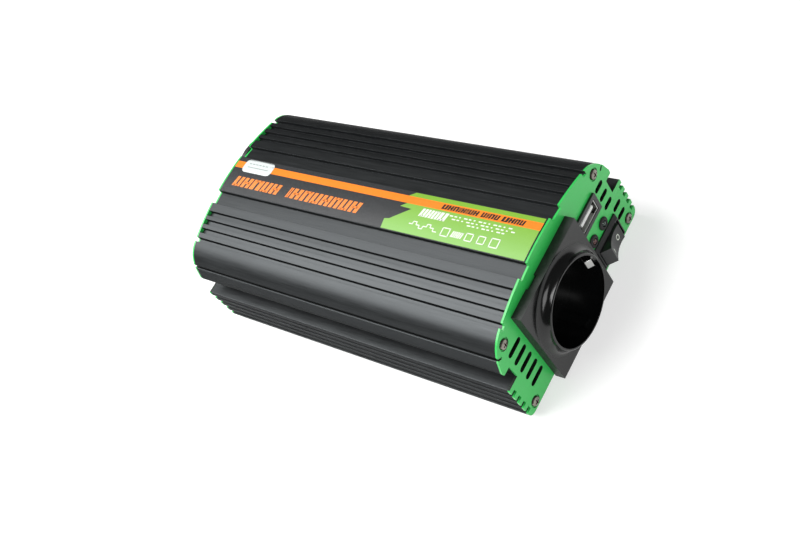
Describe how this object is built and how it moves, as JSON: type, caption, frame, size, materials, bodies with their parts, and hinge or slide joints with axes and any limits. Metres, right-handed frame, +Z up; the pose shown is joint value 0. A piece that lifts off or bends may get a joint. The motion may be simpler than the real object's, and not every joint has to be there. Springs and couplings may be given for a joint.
{
  "type": "power inverter",
  "caption": "Small finned power inverter with an earthed mains socket, USB outlet, rocker switch, cooling fan and screw terminals.",
  "frame": {"origin": "on the surface it stands on, under the middle of the whole object", "axes": "+Z up, +X to the right when facing the outlet end, -Y towards the outlet end"},
  "size_m": [0.109, 0.2168, 0.0595],
  "materials": {
    "anodised_shell": "fine satin anodising, near black",
    "green_plate": "smooth bright green powder coat",
    "label_print": "printed polyester label, semi-gloss",
    "sticker": "white gloss vinyl",
    "steel": "bright zinc or nickel plating",
    "brass": "bright brass",
    "black_plastic": "black ABS and polycarbonate, satin",
    "rocker_plastic": "black nylon, semi-gloss",
    "red_plastic": "red moulded plastic",
    "rubber": "black rubber",
    "circuit_board": "green solder mask",
    "ferrite": "dull grey ferrite",
    "transistor_case": "black epoxy case with tinned leads",
    "winding": "enamelled copper wire under tape",
    "green_lens": "clear green lens",
    "red_lens": "clear red lens",
    "capacitor_sleeve": "dark blue shrink sleeve",
    "fuse": "orange clear plastic"
  },
  "bodies": {
    "housing": {"upper_housing": "anodised_shell", "lower_housing": "anodised_shell", "front_plate": "green_plate", "rear_plate": "green_plate", "top_label": "label_print", "badge_sticker": "sticker", "front_screw_1": "steel", "front_screw_2": "steel", "front_screw_3": "steel", "front_screw_4": "steel", "rear_screw_1": "steel", "rear_screw_2": "steel", "rear_screw_3": "steel", "rear_screw_4": "steel", "fan_screw_1": "steel", "fan_screw_2": "steel", "socket_earth_strap": "steel", "usb_shell": "steel", "clamp_bar_left": "steel", "clamp_bar_right": "steel", "socket_line_contact": "brass", "socket_neutral_contact": "brass", "switch_tab_left": "brass", "switch_tab_right": "brass", "positive_terminal_stud": "brass", "negative_terminal_stud": "brass", "socket_body": "black_plastic", "usb_bezel": "black_plastic", "usb_tongue": "black_plastic", "switch_body": "black_plastic", "fan_frame": "black_plastic", "fan_guard": "black_plastic", "negative_terminal_base": "black_plastic", "power_light_ring": "black_plastic", "fault_light_ring": "black_plastic", "positive_terminal_base": "red_plastic", "foot_front_left": "rubber", "foot_front_right": "rubber", "foot_rear_left": "rubber", "foot_rear_right": "rubber", "main_board": "circuit_board", "front_board": "circuit_board", "transformer_core": "ferrite", "transistor_left_1": "transistor_case", "transistor_left_2": "transistor_case", "transistor_right_1": "transistor_case", "transistor_right_2": "transistor_case", "transformer_winding": "winding", "power_light_lens": "green_lens", "fault_light_lens": "red_lens", "input_capacitor_left": "capacitor_sleeve", "input_capacitor_right": "capacitor_sleeve", "bus_capacitor": "capacitor_sleeve", "fuse": "fuse"},
    "rocker": {"switch_rocker": "rocker_plastic"},
    "fan": {"fan_rotor": "black_plastic"},
    "positive_washer": {"positive_terminal_washer": "brass"},
    "positive_knob": {"positive_terminal_knob": "red_plastic"},
    "negative_washer": {"negative_terminal_washer": "brass"},
    "negative_knob": {"negative_terminal_knob": "black_plastic"}
  },
  "joints": [
    {"name": "rocker_tilt", "type": "hinge", "parent": "housing", "child": "rocker", "pos_m": [0.0308, -0.0994, 0.0115], "axis": [0, 0, -1], "range_deg": [0, 24]},
    {"name": "fan_spin", "type": "hinge", "parent": "housing", "child": "fan", "pos_m": [0.016, 0.0871, 0.033], "axis": [0, 1, 0], "continuous": true},
    {"name": "positive_clamp_travel", "type": "slide", "parent": "housing", "child": "positive_washer", "axis": [0, 1, 0], "range_m": [0, 0.003]},
    {"name": "positive_knob_turn", "type": "hinge", "parent": "positive_washer", "child": "positive_knob", "pos_m": [-0.036, 0.1031, 0.018], "axis": [0, 1, 0], "range_deg": [0, 1080]},
    {"name": "negative_clamp_travel", "type": "slide", "parent": "housing", "child": "negative_washer", "axis": [0, 1, 0], "range_m": [0, 0.003]},
    {"name": "negative_knob_turn", "type": "hinge", "parent": "negative_washer", "child": "negative_knob", "pos_m": [-0.014, 0.1031, 0.018], "axis": [0, 1, 0], "range_deg": [0, 1080]}
  ],
  "couplings": [
    {"joint": "positive_knob_turn", "follows": "positive_clamp_travel", "rad_per_m": 6283.2},
    {"joint": "negative_knob_turn", "follows": "negative_clamp_travel", "rad_per_m": 6283.2}
  ]
}
